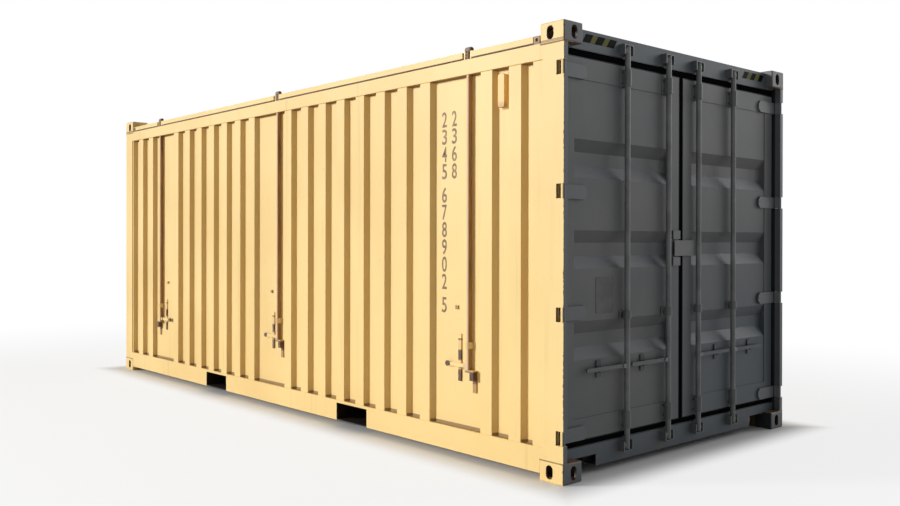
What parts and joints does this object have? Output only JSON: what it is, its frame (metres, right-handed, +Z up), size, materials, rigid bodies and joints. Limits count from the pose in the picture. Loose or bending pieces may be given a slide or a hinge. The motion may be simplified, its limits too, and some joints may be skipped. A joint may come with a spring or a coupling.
{
  "type": "hard-top shipping container",
  "caption": "Steel freight container with corrugated walls, a lift-off roof held by side lock bars, hinged end doors with locking rods, fork pockets and corner castings.",
  "frame": {"origin": "on the ground, under the middle of the container", "axes": "+X along the length towards the door end, +Y across the width, +Z up"},
  "size_m": [6.058, 2.438, 2.591],
  "materials": {
    "sand_paint": "satin paint, weathered",
    "worn_paint": "satin paint with rust at the edges",
    "slate_paint": "satin paint, weathered",
    "slate_gear": "satin paint, weathered",
    "lock_steel": "paint worn to brown steel",
    "base_paint": "matt paint",
    "floor_ply": "sealed plywood",
    "black_rubber": "matt"
  },
  "bodies": {
    "frame": {"corner_castings_top": "worn_paint", "corner_castings_bottom": "worn_paint", "rear_corner_posts": "sand_paint", "front_corner_posts": "sand_paint", "top_side_rails": "sand_paint", "bottom_side_rails": "sand_paint", "door_header": "slate_paint", "door_sill": "slate_paint", "front_top_rail": "sand_paint", "front_bottom_rail": "sand_paint", "side_wall_left": "sand_paint", "side_wall_right": "sand_paint", "front_wall": "sand_paint", "floor": "floor_ply", "cross_members": "base_paint", "fork_pockets": "base_paint", "roof_frame": "sand_paint", "roof_panel": "sand_paint", "roof_seal": "black_rubber", "vent_covers": "sand_paint", "door_hinge_lugs": "slate_paint", "rod_keepers": "slate_paint", "roof_lock_brackets": "sand_paint", "roof_lock_catches": "sand_paint"},
    "left_door": {"left_door_frame": "slate_paint", "left_door_panel": "slate_paint", "left_door_gasket": "black_rubber", "left_door_hinges": "slate_paint", "left_door_rod_guides": "slate_paint", "left_door_catches": "slate_paint", "door_interlock_lugs": "slate_paint"},
    "right_door": {"right_door_frame": "slate_paint", "right_door_panel": "slate_paint", "right_door_gasket": "black_rubber", "right_door_hinges": "slate_paint", "right_door_rod_guides": "slate_paint", "right_door_catches": "slate_paint", "door_interlock_plate": "slate_paint"},
    "left_outer_rod": {"left_outer_rod": "slate_gear"},
    "left_outer_rod_handle": {"left_outer_rod_handle": "slate_gear"},
    "left_inner_rod": {"left_inner_rod": "slate_gear"},
    "left_inner_rod_handle": {"left_inner_rod_handle": "slate_gear"},
    "right_inner_rod": {"right_inner_rod": "slate_gear"},
    "right_inner_rod_handle": {"right_inner_rod_handle": "slate_gear"},
    "right_outer_rod": {"right_outer_rod": "slate_gear"},
    "right_outer_rod_handle": {"right_outer_rod_handle": "slate_gear"},
    "left_rear_roof_lock": {"left_rear_roof_lock": "lock_steel"},
    "left_rear_roof_lock_handle": {"left_rear_roof_lock_handle": "lock_steel"},
    "right_rear_roof_lock": {"right_rear_roof_lock": "lock_steel"},
    "right_rear_roof_lock_handle": {"right_rear_roof_lock_handle": "lock_steel"},
    "left_middle_roof_lock": {"left_middle_roof_lock": "lock_steel"},
    "left_middle_roof_lock_handle": {"left_middle_roof_lock_handle": "lock_steel"},
    "right_middle_roof_lock": {"right_middle_roof_lock": "lock_steel"},
    "right_middle_roof_lock_handle": {"right_middle_roof_lock_handle": "lock_steel"},
    "left_front_roof_lock": {"left_front_roof_lock": "lock_steel"},
    "left_front_roof_lock_handle": {"left_front_roof_lock_handle": "lock_steel"},
    "right_front_roof_lock": {"right_front_roof_lock": "lock_steel"},
    "right_front_roof_lock_handle": {"right_front_roof_lock_handle": "lock_steel"}
  },
  "joints": [
    {"name": "left_door_hinge", "type": "hinge", "parent": "frame", "child": "left_door", "pos_m": [3.009, -1.199, 1.3], "axis": [0, 0, -1], "range_deg": [0, 258]},
    {"name": "right_door_hinge", "type": "hinge", "parent": "frame", "child": "right_door", "pos_m": [3.009, 1.199, 1.3], "axis": [0, 0, 1], "range_deg": [0, 258]},
    {"name": "left_outer_rod_turn", "type": "hinge", "parent": "left_door", "child": "left_outer_rod", "pos_m": [2.993, -0.595, 1.3], "axis": [0, 0, -1], "range_deg": [-90, 0]},
    {"name": "left_outer_handle_lift", "type": "hinge", "parent": "left_outer_rod", "child": "left_outer_rod_handle", "pos_m": [2.993, -0.627, 0.612], "axis": [-1, 0, 0], "range_deg": [0, 25]},
    {"name": "left_inner_rod_turn", "type": "hinge", "parent": "left_door", "child": "left_inner_rod", "pos_m": [2.993, -0.169, 1.3], "axis": [0, 0, -1], "range_deg": [-90, 0]},
    {"name": "left_inner_handle_lift", "type": "hinge", "parent": "left_inner_rod", "child": "left_inner_rod_handle", "pos_m": [2.993, -0.201, 0.612], "axis": [-1, 0, 0], "range_deg": [0, 25]},
    {"name": "right_inner_rod_turn", "type": "hinge", "parent": "right_door", "child": "right_inner_rod", "pos_m": [2.993, 0.169, 1.3], "axis": [0, 0, 1], "range_deg": [-90, 0]},
    {"name": "right_inner_handle_lift", "type": "hinge", "parent": "right_inner_rod", "child": "right_inner_rod_handle", "pos_m": [2.993, 0.201, 0.612], "axis": [1, 0, 0], "range_deg": [0, 25]},
    {"name": "right_outer_rod_turn", "type": "hinge", "parent": "right_door", "child": "right_outer_rod", "pos_m": [2.993, 0.595, 1.3], "axis": [0, 0, 1], "range_deg": [-90, 0]},
    {"name": "right_outer_handle_lift", "type": "hinge", "parent": "right_outer_rod", "child": "right_outer_rod_handle", "pos_m": [2.993, 0.627, 0.612], "axis": [1, 0, 0], "range_deg": [0, 25]},
    {"name": "left_rear_roof_lock_turn", "type": "hinge", "parent": "frame", "child": "left_rear_roof_lock", "pos_m": [2.23663, -1.193, 1.3], "axis": [0, 0, -1], "range_deg": [-90, 0]},
    {"name": "left_rear_roof_lock_handle_lift", "type": "hinge", "parent": "left_rear_roof_lock", "child": "left_rear_roof_lock_handle", "pos_m": [2.20463, -1.193, 0.58], "axis": [0, 1, 0], "range_deg": [0, 25]},
    {"name": "right_rear_roof_lock_turn", "type": "hinge", "parent": "frame", "child": "right_rear_roof_lock", "pos_m": [2.23663, 1.193, 1.3], "axis": [0, 0, 1], "range_deg": [-90, 0]},
    {"name": "right_rear_roof_lock_handle_lift", "type": "hinge", "parent": "right_rear_roof_lock", "child": "right_rear_roof_lock_handle", "pos_m": [2.20463, 1.193, 0.58], "axis": [0, 1, 0], "range_deg": [0, 25]},
    {"name": "left_middle_roof_lock_turn", "type": "hinge", "parent": "frame", "child": "left_middle_roof_lock", "pos_m": [-0.012, -1.193, 1.3], "axis": [0, 0, -1], "range_deg": [-90, 0]},
    {"name": "left_middle_roof_lock_handle_lift", "type": "hinge", "parent": "left_middle_roof_lock", "child": "left_middle_roof_lock_handle", "pos_m": [-0.044, -1.193, 0.58], "axis": [0, 1, 0], "range_deg": [0, 25]},
    {"name": "right_middle_roof_lock_turn", "type": "hinge", "parent": "frame", "child": "right_middle_roof_lock", "pos_m": [-0.012, 1.193, 1.3], "axis": [0, 0, 1], "range_deg": [-90, 0]},
    {"name": "right_middle_roof_lock_handle_lift", "type": "hinge", "parent": "right_middle_roof_lock", "child": "right_middle_roof_lock_handle", "pos_m": [-0.044, 1.193, 0.58], "axis": [0, 1, 0], "range_deg": [0, 25]},
    {"name": "left_front_roof_lock_turn", "type": "hinge", "parent": "frame", "child": "left_front_roof_lock", "pos_m": [-2.21825, -1.193, 1.3], "axis": [0, 0, 1], "range_deg": [-90, 0]},
    {"name": "left_front_roof_lock_handle_lift", "type": "hinge", "parent": "left_front_roof_lock", "child": "left_front_roof_lock_handle", "pos_m": [-2.18625, -1.193, 0.58], "axis": [0, -1, 0], "range_deg": [0, 25]},
    {"name": "right_front_roof_lock_turn", "type": "hinge", "parent": "frame", "child": "right_front_roof_lock", "pos_m": [-2.21825, 1.193, 1.3], "axis": [0, 0, -1], "range_deg": [-90, 0]},
    {"name": "right_front_roof_lock_handle_lift", "type": "hinge", "parent": "right_front_roof_lock", "child": "right_front_roof_lock_handle", "pos_m": [-2.18625, 1.193, 0.58], "axis": [0, -1, 0], "range_deg": [0, 25]}
  ]
}
